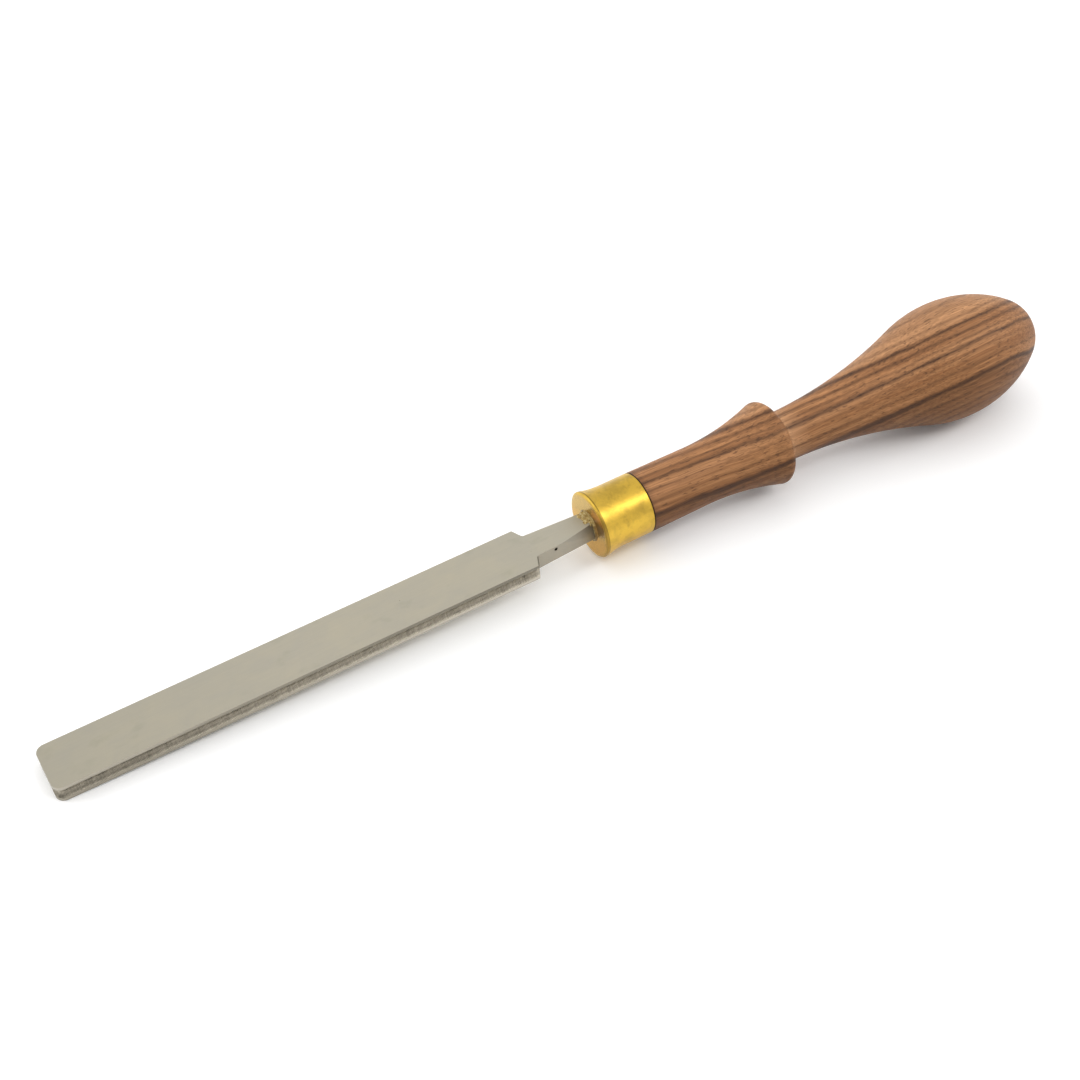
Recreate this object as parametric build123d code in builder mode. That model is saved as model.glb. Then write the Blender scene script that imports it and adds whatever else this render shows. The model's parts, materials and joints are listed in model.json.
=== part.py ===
from build123d import *
from math import asin, atan2, cos, hypot, sin, sqrt
import os

# A flat hand file with a hollow, toothed groove along each long edge. Its tang is
# glued into a turned hardwood handle with a turned brass ferrule.
# Millimetres. The tool lies on a level surface, on the lower edge of its tip and on
# the bulb of its handle. Z is up, X runs from the tip to the butt, and the origin is
# on the surface, under the middle of the tool's length.

# Blade
blade_length = 120.0  # from the tip to the outer corners of the shoulders
blade_width = 13.4
blade_thickness = 4.5
tip_corner_radius = 2.2
shoulder_lean = 1.3  # how far the shoulders run back between their outer and inner corners
shoulder_fillet = 0.8

# Hollow of the two long edges
groove_radius = 1.6
groove_depth = 0.8
groove_wrap = 60.0  # degrees that a groove follows round its tip corner before it runs out
groove_runout = 4.0

# Tang
tang_visible = 17.7  # from the shoulders' outer corners to the ferrule
tang_hidden = 52.0  # glued into the handle
tang_root_width = 7.5
tang_mouth_width = 5.8  # where it enters the ferrule
tang_end_width = 2.6
tang_end_thickness = 2.6

# Facet ground by hand on the tang's upper edge, on the -Y side
facet_start = 8.0  # behind the shoulders' outer corners
facet_top = 1.4  # its reach across the tang's upper face at the ferrule
facet_side = 3.2  # its reach down the tang's side at the ferrule
facet_overrun = 1.5  # how far it runs on inside the ferrule
cutter_margin = 1.0

# Ferrule
ferrule_length = 14.1
ferrule_wall = 1.1
ferrule_front_wall = 1.6
barrel_radius = 7.85
flange_radius = 8.6
flange_width = 0.7
flange_sweep = 5.9  # length of the hollow between the flange and the barrel
rim_round = 0.5  # of the flange's front edge
edge_break = 0.15

# Handle
waist_radius = 7.68
waist_run = 16.2  # from the ferrule to the slimmest place of the grip
trumpet_run = 23.3  # from there to the bead
bead_radius = 11.4  # to the bead's corner before it is rounded
bead_round = 1.6
bead_back = 2.0  # length of the bead's steep rear face
neck_radius = 6.55
neck_fillet = 2.4
flare_run = 55.4  # from the neck to the fullest place of the bulb
bulb_radius = 15.75
butt_run = 26.2  # from there to the end
butt_radius = 10.9  # of the round end

# Fit and glue
bore_radius = 4.0  # drilled through the ferrule's front and into the wood
bore_spare = 6.0  # depth left beyond the end of the tang
drill_cone = 2.3
tenon_clearance = 0.05
tenon_gap = 0.3  # between the tenon's end and the inside of the ferrule's front
glue_rise = 0.5  # how far the glue stands out of the ferrule
glue_lap = 0.3  # how far it spreads over the ferrule's front

# Stations along the tool's own axis, from the tip
tang_root = blade_length + shoulder_lean
facet_at = blade_length + facet_start
mouth = blade_length + tang_visible
ferrule_rear = mouth + ferrule_length
waist_at = ferrule_rear + waist_run
bead_at = waist_at + trumpet_run
neck_at = bead_at + bead_back
bulb_at = neck_at + flare_run
butt_at = bulb_at + butt_run
tang_end = mouth + tang_hidden
tenon_face = mouth + ferrule_front_wall + tenon_gap
bore_end = tang_end + bore_spare

# The bulb is one arc that meets the round butt and the neck's flare smoothly
butt_centre = butt_run - butt_radius
belly_radius = (butt_centre**2 + bulb_radius**2 - butt_radius**2) / (2 * (bulb_radius - butt_radius))
belly_centre = bulb_radius - belly_radius
swell = bulb_radius - neck_radius
flare_radius = (flare_run**2 + swell**2) / (2 * swell) - belly_radius

# Resting pose: the tip's lower edge and the bulb both touch the surface
tip_drop = blade_thickness / 2 - belly_centre
tilt = asin(belly_radius / hypot(bulb_at, tip_drop)) - atan2(tip_drop, bulb_at)
along = Vector(cos(tilt), 0, sin(tilt))
upward = Vector(-sin(tilt), 0, cos(tilt))
tip_reach = blade_thickness / 2 * sin(tilt)
butt_reach = (butt_at - butt_radius) * cos(tilt) + butt_radius
tip = Vector((tip_reach - butt_reach) / 2, 0, blade_thickness / 2 * cos(tilt))

tool = Plane(origin=tip, x_dir=along, z_dir=upward)
turning = Plane(origin=tip, x_dir=along, z_dir=(0, -1, 0))
tool_axis = Axis(tip, along)


def cross_plane(station):
    """Plane across the tool at a station, with its Y pointing up."""
    return Plane(origin=tip + along * station, x_dir=(0, 1, 0), z_dir=along)


def on_taper(station, start, end, start_size, end_size):
    """Size at a station of something that tapers evenly between two others."""
    return start_size + (end_size - start_size) * (station - start) / (end - start)


def tang_corner(station):
    """Half width and half thickness of the tang between its root and the ferrule."""
    width = on_taper(station, tang_root, mouth, tang_root_width, tang_mouth_width)
    thickness = on_taper(station, tang_root, tang_end, blade_thickness, tang_end_thickness)
    return width / 2, thickness / 2


# Blade and tang, one forging: the plan cut from plate, then thinned along the tang
with BuildPart() as file_blade:
    with BuildSketch(tool) as plan:
        with BuildLine():
            upper_side = [
                (0, blade_width / 2),
                (blade_length, blade_width / 2),
                (tang_root, tang_root_width / 2),
                (mouth, tang_mouth_width / 2),
                (tang_end, tang_end_width / 2),
            ]
            lower_side = [(x, -y) for x, y in reversed(upper_side)]
            Polyline(*upper_side, *lower_side, close=True)
        make_face()
        fillet(plan.vertices().group_by(Axis.X)[2], shoulder_fillet)
        fillet(plan.vertices().group_by(Axis.X)[0], tip_corner_radius)
    extrude(amount=blade_thickness / 2, both=True)
    with BuildSketch(turning):
        with BuildLine():
            top_line = [
                (0, blade_thickness / 2),
                (tang_root, blade_thickness / 2),
                (tang_end, tang_end_thickness / 2),
            ]
            bottom_line = [(x, -y) for x, y in reversed(top_line)]
            Polyline(*top_line, *bottom_line, close=True)
        make_face()
    extrude(amount=blade_width / 2, both=True, mode=Mode.INTERSECT)

    # the grooves, cut by a round cutter that follows each edge and its tip corner
    cutter_offset = groove_radius - groove_depth
    for side in (1, -1):
        with BuildLine(tool) as cutter_path:
            edge_run = Line(
                (tang_root + groove_radius, side * (blade_width / 2 + cutter_offset)),
                (tip_corner_radius, side * (blade_width / 2 + cutter_offset)),
            )
            corner_run = JernArc(
                start=edge_run @ 1,
                tangent=(-1, 0),
                radius=tip_corner_radius + cutter_offset,
                arc_size=side * groove_wrap,
            )
            Line(corner_run @ 1, corner_run @ 1 + (corner_run % 1) * groove_runout)
        with BuildSketch(Plane(origin=cutter_path.line @ 0, z_dir=-along)):
            Circle(groove_radius)
        sweep(path=cutter_path.line, mode=Mode.SUBTRACT)

    # the facet, widening evenly from a point on the tang's edge
    facet_end = mouth + facet_overrun
    growth = (facet_end - facet_at) / (mouth - facet_at)
    start_width, start_thickness = tang_corner(facet_at)
    end_width, end_thickness = tang_corner(facet_end)
    across = facet_top * growth
    down = facet_side * growth
    with BuildSketch(cross_plane(facet_end)) as facet_section:
        with BuildLine():
            Polyline(
                (-end_width + across + cutter_margin * across / down, end_thickness + cutter_margin),
                (-end_width - cutter_margin, end_thickness + cutter_margin),
                (-end_width - cutter_margin, end_thickness - down - cutter_margin * down / across),
                close=True,
            )
        make_face()
    facet_point = cross_plane(facet_at).from_local_coords((-start_width, start_thickness, 0))
    loft([Vertex(*facet_point), facet_section.sketch.face()], mode=Mode.SUBTRACT)
file_blade.part.label = "file_blade"

# Ferrule: a turned cup with a rounded flange, drilled for the tang
with BuildPart() as ferrule:
    with BuildSketch(turning) as ferrule_section:
        with BuildLine():
            Polyline(
                (mouth + flange_width, flange_radius),
                (mouth, flange_radius),
                (mouth, bore_radius),
                (mouth + ferrule_front_wall, bore_radius),
                (mouth + ferrule_front_wall, barrel_radius - ferrule_wall),
                (ferrule_rear, barrel_radius - ferrule_wall),
                (ferrule_rear, barrel_radius - edge_break),
                (ferrule_rear - edge_break, barrel_radius),
                (mouth + flange_width + flange_sweep, barrel_radius),
            )
            TangentArc(
                (mouth + flange_width + flange_sweep, barrel_radius),
                (mouth + flange_width, flange_radius),
                tangent=(-1, 0),
            )
        make_face()
        fillet(ferrule_section.vertices().group_by(Axis.Y)[-1].sort_by(Axis.X)[0], rim_round)
        fillet(ferrule_section.vertices().group_by(Axis.Y)[-1].sort_by(Axis.X)[-1], edge_break)
    revolve(axis=tool_axis)
ferrule.part.label = "ferrule"

# Handle: turned in one piece, with a tenon inside the ferrule and a drilled hole
bulb_centre = Vector(bulb_at, belly_centre)
flare_centre = Vector(neck_at, neck_radius + flare_radius)
butt_middle = Vector(butt_at - butt_radius, 0)
flare_end = bulb_centre + (flare_centre - bulb_centre).normalized() * belly_radius
belly_end = bulb_centre + (butt_middle - bulb_centre).normalized() * belly_radius
tenon_radius = barrel_radius - ferrule_wall - tenon_clearance
with BuildPart() as handle:
    with BuildSketch(turning) as handle_section:
        with BuildLine():
            front = Polyline(
                (bore_end, 0),
                (bore_end - drill_cone, bore_radius),
                (tenon_face, bore_radius),
                (tenon_face, tenon_radius),
                (ferrule_rear, tenon_radius),
                (ferrule_rear, barrel_radius - edge_break),
                (ferrule_rear + edge_break, barrel_radius),
                (waist_at, waist_radius),
            )
            trumpet = TangentArc(front @ 1, (bead_at, bead_radius), tangent=front % 1)
            bead_face = Line(trumpet @ 1, (neck_at, neck_radius))
            flare = TangentArc(bead_face @ 1, flare_end, tangent=(1, 0))
            belly = ThreePointArc(flare @ 1, (bulb_at, bulb_radius), belly_end)
            butt = TangentArc(belly @ 1, (butt_at, 0), tangent=belly % 1)
            Line(butt @ 1, front @ 0)
        make_face()
        fillet(handle_section.vertices().sort_by_distance((bead_at, bead_radius))[0], bead_round)
        fillet(handle_section.vertices().sort_by_distance((neck_at, neck_radius))[0], neck_fillet)
    revolve(axis=tool_axis)
handle.part.label = "handle"

# Cured glue that fills the hole round the tang and stands a little out of the ferrule
with BuildPart() as tang_epoxy:
    with BuildSketch(turning):
        with BuildLine():
            Polyline(
                (mouth - glue_rise, 0),
                (mouth - glue_rise, bore_radius - glue_lap),
                (mouth, bore_radius + glue_lap),
                (mouth, bore_radius),
                (bore_end - drill_cone, bore_radius),
                (bore_end, 0),
                close=True,
            )
        make_face()
    revolve(axis=tool_axis)
    add(file_blade.part, mode=Mode.SUBTRACT)
tang_epoxy.part.label = "tang_epoxy"

os.makedirs("parts", exist_ok=True)
export_step(file_blade.part, "parts/file_blade.step")
export_step(ferrule.part, "parts/ferrule.step")
export_step(handle.part, "parts/handle.step")
export_step(tang_epoxy.part, "parts/tang_epoxy.step")
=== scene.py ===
import json
import random
from math import atan2, cos, hypot, pi, radians, sin, tan

import bmesh
import bpy
from mathutils import Matrix, Vector


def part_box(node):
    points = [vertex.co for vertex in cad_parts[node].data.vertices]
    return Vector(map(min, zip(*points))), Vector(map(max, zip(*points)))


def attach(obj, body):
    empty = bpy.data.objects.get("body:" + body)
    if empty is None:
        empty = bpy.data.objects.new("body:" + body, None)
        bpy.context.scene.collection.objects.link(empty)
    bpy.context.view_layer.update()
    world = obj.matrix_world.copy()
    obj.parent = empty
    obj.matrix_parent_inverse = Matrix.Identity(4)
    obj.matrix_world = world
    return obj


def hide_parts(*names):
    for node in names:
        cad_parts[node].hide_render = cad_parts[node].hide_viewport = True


# A hand file with hollow, toothed edges, lying on its tip and on the bulb of its handle. Metres.
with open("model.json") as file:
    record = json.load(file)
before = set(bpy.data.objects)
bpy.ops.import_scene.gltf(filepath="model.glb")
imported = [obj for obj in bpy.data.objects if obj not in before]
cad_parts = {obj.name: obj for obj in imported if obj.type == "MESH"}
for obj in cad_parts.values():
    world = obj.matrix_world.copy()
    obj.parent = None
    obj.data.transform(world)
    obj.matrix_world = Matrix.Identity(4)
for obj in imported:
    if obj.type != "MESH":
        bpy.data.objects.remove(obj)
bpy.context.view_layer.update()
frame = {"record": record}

# The tool's own line: station 0 at the tip, x towards the butt, z out of the upper face.
# Every piece is modelled along that line at the origin, then laid down in its place.
mounts = {mount["name"]: mount for mount in frame["record"]["mounts"]}
upperFace = mounts["blade_upper_face"]
plateThickness = (Vector(upperFace["pos_m"]) - Vector(mounts["blade_lower_face"]["pos_m"])).length
tilt = atan2(-upperFace["axis"][0], upperFace["axis"][2])
tip = Vector((
    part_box("file_blade")[0].x + plateThickness / 2 * sin(tilt),
    0,
    plateThickness / 2 * cos(tilt),
))
print("stage: frame loaded, tool lies at", round(tilt * 180 / pi, 2), "degrees")

near = 0.00001  # how close a point lies to the place where it is picked
apart = 0.0001  # how far off it must lie to be left out
straight = 0.99  # how nearly an edge runs along an axis, 1 being exactly
mergeWithin = 0.000002  # points closer than this become one
smoothBelow = 30  # degrees between faces that are shaded as one
seedSize = 0.001  # of the small square that a profile is started from
noiseSpan = (0.3, 0.7)  # where most of a noise pattern lies


# helpers for modelling
def clearSelection():
    if bpy.context.mode != "OBJECT":
        bpy.ops.object.mode_set(mode="OBJECT")
    bpy.ops.object.select_all(action="DESELECT")


def choose(*pieces):
    # the last one becomes the active one
    clearSelection()
    for piece in pieces:
        piece.select_set(True)
    bpy.context.view_layer.objects.active = pieces[-1]


def openMesh(piece):
    choose(piece)
    bpy.ops.object.mode_set(mode="EDIT")


def pick(piece, kind, test):
    # kind is VERT, EDGE or FACE, and test says which of them to select
    bpy.ops.mesh.select_mode(type=kind)
    bpy.ops.mesh.select_all(action="DESELECT")
    mesh = bmesh.from_edit_mesh(piece.data)
    for part in {"VERT": mesh.verts, "EDGE": mesh.edges, "FACE": mesh.faces}[kind]:
        if test(part):
            part.select_set(True)
    bmesh.update_edit_mesh(piece.data)


def pickAll():
    bpy.ops.mesh.select_all(action="SELECT")


def closeMesh():
    # with all its faces turned outwards
    pickAll()
    bpy.ops.mesh.normals_make_consistent(inside=False)
    clearSelection()


def extrude(offset):
    bpy.ops.mesh.extrude_region_move(TRANSFORM_OT_translate={"value": offset})


def middle(edge):
    return (edge.verts[0].co + edge.verts[1].co) / 2


def runsAlong(edge, axis):
    return abs((edge.verts[1].co - edge.verts[0].co).normalized()[axis]) > straight


def applyPlace():
    bpy.ops.object.transform_apply(location=True, rotation=True, scale=True)


def named(name):
    piece = bpy.context.object
    piece.name = name
    piece.data.name = name
    applyPlace()
    return piece


def addBall(name, place, radius, steps, thin=1.0):
    bpy.ops.mesh.primitive_ico_sphere_add(
        subdivisions=steps, radius=radius, location=place, scale=(1, 1, thin),
    )
    return named(name)


def applyModifier(piece, kind, **settings):
    choose(piece)
    modifier = piece.modifiers.new(kind.title(), kind)
    for setting, value in settings.items():
        setattr(modifier, setting, value)
    bpy.ops.object.modifier_apply(modifier=modifier.name)


def layDown(piece, node, angle=smoothBelow):
    # smooths the piece, turns it from the tool's own line to where it lies, and hands it over
    choose(piece)
    bpy.ops.object.shade_smooth_by_angle(angle=radians(angle))
    piece.rotation_euler = (0, -tilt, 0)
    piece.location = tip
    applyPlace()
    if node:
        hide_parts(node)
    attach(piece, "root")
    clearSelection()
    print("stage:", piece.name, len(piece.data.polygons), "faces")


def arc(centre, radius, start, end, steps):
    # points of an arc in the (station, radius) plane, angles in radians
    turns = [start + (end - start) * step / steps for step in range(steps + 1)]
    return [(centre[0] + radius * cos(turn), centre[1] + radius * sin(turn)) for turn in turns]


def tangentArc(start, heading, end, steps):
    # an arc that leaves start along heading and reaches end
    length = hypot(*heading)
    side = (-heading[1] / length, heading[0] / length)
    chord = (end[0] - start[0], end[1] - start[1])
    radius = (chord[0] ** 2 + chord[1] ** 2) / (2 * (chord[0] * side[0] + chord[1] * side[1]))
    centre = (start[0] + side[0] * radius, start[1] + side[1] * radius)
    first = atan2(start[1] - centre[1], start[0] - centre[0])
    last = atan2(end[1] - centre[1], end[0] - centre[0])
    if abs(last - first) > pi:
        last += 2 * pi if last < first else -2 * pi
    return arc(centre, abs(radius), first, last, steps)


def roundCorner(points, corner, radius, steps):
    # replaces the profile's corner nearest to a point by an arc of that radius
    corner = Vector(corner)
    at = min(range(len(points)), key=lambda index: (Vector(points[index]) - corner).length)
    here = Vector(points[at])
    back = (Vector(points[at - 1]) - here).normalized()
    ahead = (Vector(points[at + 1]) - here).normalized()
    half = back.angle(ahead) / 2
    setback = radius / tan(half)
    first = at
    while (Vector(points[first]) - here).length < setback:
        first -= 1
    last = at
    while (Vector(points[last]) - here).length < setback:
        last += 1
    centre = here + (back + ahead).normalized() * radius / sin(half)
    begin = here + back * setback - centre
    swing = (pi - 2 * half) * (1 if begin.cross(here + ahead * setback - centre) > 0 else -1)
    angle = atan2(begin.y, begin.x)
    return points[:first + 1] + arc(centre, radius, angle, angle + swing, steps) + points[last:]


def turned(name, profile, steps):
    # a vertex is drawn out along the profile, then spun round the tool's axis
    bpy.ops.mesh.primitive_plane_add(size=seedSize)
    piece = named(name)
    openMesh(piece)
    pick(piece, "VERT", lambda vertex: vertex.index > 0)
    bpy.ops.mesh.delete(type="VERT")
    pickAll()
    corner = bmesh.from_edit_mesh(piece.data).verts[:][0].co.copy()
    here = Vector((profile[0][0], 0, profile[0][1]))
    bpy.ops.transform.translate(value=here - corner)
    for station, radius in profile[1:]:
        there = Vector((station, 0, radius))
        bpy.ops.mesh.extrude_vertices_move(TRANSFORM_OT_translate={"value": there - here})
        here = there
    pickAll()
    bpy.ops.mesh.spin(steps=steps, angle=2 * pi, center=(0, 0, 0), axis=(1, 0, 0))
    pickAll()
    bpy.ops.mesh.remove_doubles(threshold=mergeWithin)
    closeMesh()
    return piece


# helpers for materials
def newFinish(name):
    finish = bpy.data.materials.new(name)
    finish.use_nodes = True
    return finish


def add(finish, kind, inputs=None, **settings):
    node = finish.node_tree.nodes.new("ShaderNode" + kind)
    for setting, value in settings.items():
        setattr(node, setting, value)
    for socket, value in (inputs or {}).items():
        if isinstance(value, bpy.types.NodeSocket):
            finish.node_tree.links.new(value, node.inputs[socket])
        else:
            node.inputs[socket].default_value = value
    return node


def toolPlace(finish):
    # a point's place along the tool's own line: x station, y across, z up
    return add(
        finish, "Mapping", {
            "Vector": add(finish, "TexCoord").outputs["Object"],
            "Location": tip,
            "Rotation": (0, -tilt, 0),
        }, vector_type="TEXTURE",
    ).outputs["Vector"]


def partsOf(finish, place):
    return add(finish, "SeparateXYZ", {"Vector": place}).outputs


def noise(finish, place, scale, detail, roughness, distortion=0.0):
    return add(finish, "TexNoise", {
        "Vector": place, "Scale": scale, "Detail": detail,
        "Roughness": roughness, "Distortion": distortion,
    }).outputs["Fac"]


def drawnOut(finish, place, scale, detail, roughness, distortion=0.0, offset=(0, 0, 0)):
    # noise with a scale of its own along each axis
    drawn = add(finish, "Mapping", {"Vector": place, "Scale": scale, "Location": offset})
    return noise(finish, drawn.outputs["Vector"], 1.0, detail, roughness, distortion)


def ramp(finish, factor, *stops):
    # stops are (position, grey or colour)
    node = add(finish, "ValToRGB", {"Fac": factor})
    elements = node.color_ramp.elements
    while len(elements) < len(stops):
        elements.new(0.5)
    for element, (position, colour) in zip(elements, stops):
        element.position = position
        element.color = (*colour, 1) if isinstance(colour, tuple) else (colour, colour, colour, 1)
    return node.outputs["Color"]


def worked(finish, operation, first, second=0.0, clamp=False):
    return add(finish, "Math", {0: first, 1: second}, operation=operation, use_clamp=clamp).outputs[0]


def times(finish, first, second):
    return worked(finish, "MULTIPLY", first, second)


def spread(finish, value, fromLow, fromHigh, toLow, toHigh):
    return add(finish, "MapRange", {
        "Value": value, "From Min": fromLow, "From Max": fromHigh, "To Min": toLow, "To Max": toHigh,
    }).outputs["Result"]


def mixed(finish, factor, under, over, blend="MIX"):
    # colours; given as three numbers, they get their alpha here
    under, over = [(*colour, 1) if isinstance(colour, tuple) else colour for colour in (under, over)]
    return add(
        finish, "Mix", {"Factor": factor, 6: under, 7: over}, data_type="RGBA", blend_type=blend,
    ).outputs[2]


def blended(finish, factor, under, over):
    # plain numbers
    return add(finish, "Mix", {"Factor": factor, 2: under, 3: over}).outputs[0]


def bumped(finish, height, strength, distance, under=None):
    inputs = {"Height": height, "Strength": strength, "Distance": distance}
    if under:
        inputs["Normal"] = under
    return add(finish, "Bump", inputs).outputs["Normal"]


def dress(finish, **sockets):
    shader = finish.node_tree.nodes["Principled BSDF"]
    for socket, value in sockets.items():
        name = {"colour": "Base Color", "specular": "Specular IOR Level"}.get(socket, socket.title())
        if isinstance(value, bpy.types.NodeSocket):
            finish.node_tree.links.new(value, shader.inputs[name])
        else:
            shader.inputs[name].default_value = value


# blade and tang, one forging
blade = {
    "length": 0.120, "width": 0.0134, "tipCorner": 0.0022,
    "lean": 0.0013, "shoulderFillet": 0.0008,  # of the shoulders and their inner corners
    "tangRoot": 0.0075, "tangMouth": 0.0058, "tangEnd": 0.0026, "tangThin": 0.0026,
    "tangVisible": 0.0177, "tangHidden": 0.052,
    "grooveRadius": 0.0016, "grooveDepth": 0.0008, "grooveWrap": 60, "grooveRunout": 0.004,
    "facetStart": 0.008, "facetTop": 0.0014, "facetSide": 0.0032,
    # the facet's cutter: how far it goes past each end, its width and its height
    "facetOverrun": 0.0015, "facetLead": 0.001, "facetBlock": (0.008, 0.002),
    "facetArea": 1e-6,  # the facet is the only leaning face larger than this
    "leaning": 0.3,  # part of a normal that counts as leaning
    "edgeBreak": 0.00009, "breakSteps": 2, "breakAbove": 38,  # degrees
    "flatWithin": 0.3,  # degrees by which faces may differ and still be made one
    "pitStation": 0.1264, "pitDrop": 0.0009, "pitRadius": 0.00046, "pitSunk": 0.00040,
    "cornerSteps": 14, "shoulderSteps": 8, "cutterSides": 96, "wrapSteps": 12, "pitSteps": 3,
}
root = blade["length"] + blade["lean"]
mouth = blade["length"] + blade["tangVisible"]
tangEnd = mouth + blade["tangHidden"]
cutterOffset = blade["grooveRadius"] - blade["grooveDepth"]


def tangSize(station):
    # width and thickness of the tang between the shoulders and the ferrule
    widening = blade["tangMouth"] - blade["tangRoot"]
    width = blade["tangRoot"] + widening * (station - root) / (mouth - root)
    taper = (station - root) / (tangEnd - root)
    return width, plateThickness + (blade["tangThin"] - plateThickness) * taper


def grooveCutter(side):
    # a round bar that follows the edge and its tip corner, then runs out
    offset = side * (blade["width"] / 2 + cutterOffset)
    bpy.ops.mesh.primitive_circle_add(
        vertices=blade["cutterSides"], radius=blade["grooveRadius"], fill_type="NGON",
        location=(root + blade["grooveRadius"], offset, 0), rotation=(0, pi / 2, 0),
    )
    cutter = named("cutter")
    cutter.data.materials.append(cutSteel)
    openMesh(cutter)
    pickAll()
    run = root + blade["grooveRadius"] - blade["tipCorner"]
    extrude((-run, 0, 0))
    corner = (blade["tipCorner"], side * (blade["width"] / 2 - blade["tipCorner"]), 0)
    wrap = radians(blade["grooveWrap"])
    bpy.ops.mesh.spin(steps=blade["wrapSteps"], angle=wrap, center=corner, axis=(0, 0, -side))
    runout = Vector((-cos(wrap), -side * sin(wrap), 0)) * blade["grooveRunout"]
    extrude(runout)
    closeMesh()
    return cutter


def facetCutter():
    # a block whose lower face lies in the facet that is ground on the tang's edge
    start = blade["length"] + blade["facetStart"]
    startWidth, startThickness = tangSize(start)
    endWidth, endThickness = tangSize(mouth)
    point = Vector((start, -startWidth / 2, startThickness / 2))
    upper = Vector((mouth, -endWidth / 2 + blade["facetTop"], endThickness / 2))
    lower = Vector((mouth, -endWidth / 2, endThickness / 2 - blade["facetSide"]))
    normal = (lower - point).cross(upper - point).normalized()
    if normal.z < 0:
        normal.negate()
    alongFacet = ((upper + lower) / 2 - point).normalized()
    turn = Matrix((alongFacet, normal.cross(alongFacet), normal)).transposed()
    run = mouth + blade["facetOverrun"] - point.x + blade["facetLead"]
    size = Vector((run, *blade["facetBlock"]))
    centre = point + alongFacet * (size.x / 2 - blade["facetLead"]) + normal * size.z / 2
    bpy.ops.mesh.primitive_cube_add(size=1, location=centre, rotation=turn.to_euler(), scale=size)
    return named("facetBlock")


def pitCutter():
    # a small casting pit in the tang's right-hand side
    station = blade["pitStation"]
    width, thick = tangSize(station)
    across = -width / 2 - blade["pitRadius"] + blade["pitSunk"]
    place = (station, across, thick / 2 - blade["pitDrop"])
    cutter = addBall("pit", place, blade["pitRadius"], blade["pitSteps"])
    cutter.data.materials.append(pitSteel)
    return cutter


def mergeClose(piece):
    # points that a cut or a bevel leaves on top of each other become one
    openMesh(piece)
    pickAll()
    bpy.ops.mesh.remove_doubles(threshold=mergeWithin)
    bpy.ops.mesh.dissolve_degenerate(threshold=mergeWithin)
    clearSelection()


def cutAway(piece, cutter):
    applyModifier(
        piece, "BOOLEAN", object=cutter, operation="DIFFERENCE", solver="EXACT",
        material_mode="TRANSFER",
    )
    bpy.data.objects.remove(cutter)
    mergeClose(piece)


def dressSides(piece):
    # the narrow faces and the ground facet are duller than the two broad faces
    piece.data.materials.append(sideSteel)
    names = [material.name for material in piece.data.materials]
    side = names.index(sideSteel.name)
    kept = [names.index(cutSteel.name), names.index(pitSteel.name)]
    facetFrom = blade["length"] + blade["facetStart"] / 2
    openMesh(piece)
    mesh = bmesh.from_edit_mesh(piece.data)
    for face in mesh.faces:
        upright = abs(face.normal.z) < blade["leaning"]
        leaning = abs(face.normal.y) > blade["leaning"] and face.calc_area() > blade["facetArea"]
        facet = leaning and face.calc_center_median().x > facetFrom
        if face.material_index not in kept and (upright or facet):
            face.material_index = side
    bmesh.update_edit_mesh(piece.data)
    clearSelection()


def buildBlade():
    length, width, thickness = blade["length"], blade["width"], plateThickness
    bpy.ops.mesh.primitive_cube_add(
        size=1, location=(length / 2, 0, 0), scale=(length, width, thickness),
    )
    piece = named("hand_file_blade")
    piece.data.materials.append(groundSteel)
    openMesh(piece)
    pick(piece, "EDGE", lambda edge: middle(edge).x < near and runsAlong(edge, 2))
    bpy.ops.mesh.bevel(offset=blade["tipCorner"], segments=blade["cornerSteps"], affect="EDGES")
    for side in (1, -1):
        pickAll()
        bpy.ops.mesh.bisect(plane_co=(0, side * blade["tangRoot"] / 2, 0), plane_no=(0, 1, 0))
    # the shoulders lean back towards the tang
    inner = width / 2 - apart
    pick(piece, "VERT", lambda vertex: vertex.co.x > length - near and abs(vertex.co.y) < inner)
    bpy.ops.transform.translate(value=(blade["lean"], 0, 0))
    pick(piece, "FACE", lambda face: face.calc_center_median().x > root - apart)
    before = (blade["tangRoot"], thickness, root)
    for station, across in ((mouth, blade["tangMouth"]), (tangEnd, blade["tangEnd"])):
        thick = tangSize(station)[1]
        extrude((station - before[2], 0, 0))
        bpy.ops.transform.resize(
            value=(1, across / before[0], thick / before[1]), center_override=(station, 0, 0),
        )
        before = (across, thick, station)
    # the inner corners of the shoulders are filed round
    lean = atan2((width - blade["tangRoot"]) / 2, -blade["lean"])
    tangLine = atan2((blade["tangMouth"] - blade["tangRoot"]) / 2, mouth - root)
    setback = blade["shoulderFillet"] / tan((lean - tangLine) / 2)
    pick(piece, "EDGE", lambda edge: abs(middle(edge).x - root) < near and runsAlong(edge, 2))
    bpy.ops.mesh.bevel(offset=setback, segments=blade["shoulderSteps"], affect="EDGES")
    pickAll()
    bpy.ops.mesh.dissolve_limited(angle_limit=radians(blade["flatWithin"]))
    clearSelection()
    for side in (1, -1):
        cutAway(piece, grooveCutter(side))
    cutAway(piece, facetCutter())
    applyModifier(
        piece, "BEVEL", width=blade["edgeBreak"], segments=blade["breakSteps"],
        limit_method="ANGLE", angle_limit=radians(blade["breakAbove"]),
    )
    mergeClose(piece)
    cutAway(piece, pitCutter())
    dressSides(piece)
    layDown(piece, "file_blade")


# teeth cut across the two hollow edges
teeth = {
    "pitch": 0.00028, "base": 0.00027, "height": 0.00007, "sunk": 0.00002,
    "reach": 58, "steps": 10, "lean": 0.3, "endGap": 0.0003,
    # unevenness: of their places, as a share of the pitch, and of their lengths along the edge
    "jitter": 0.14, "sizes": (0.7, 1.05), "seed": 7,
}


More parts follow.
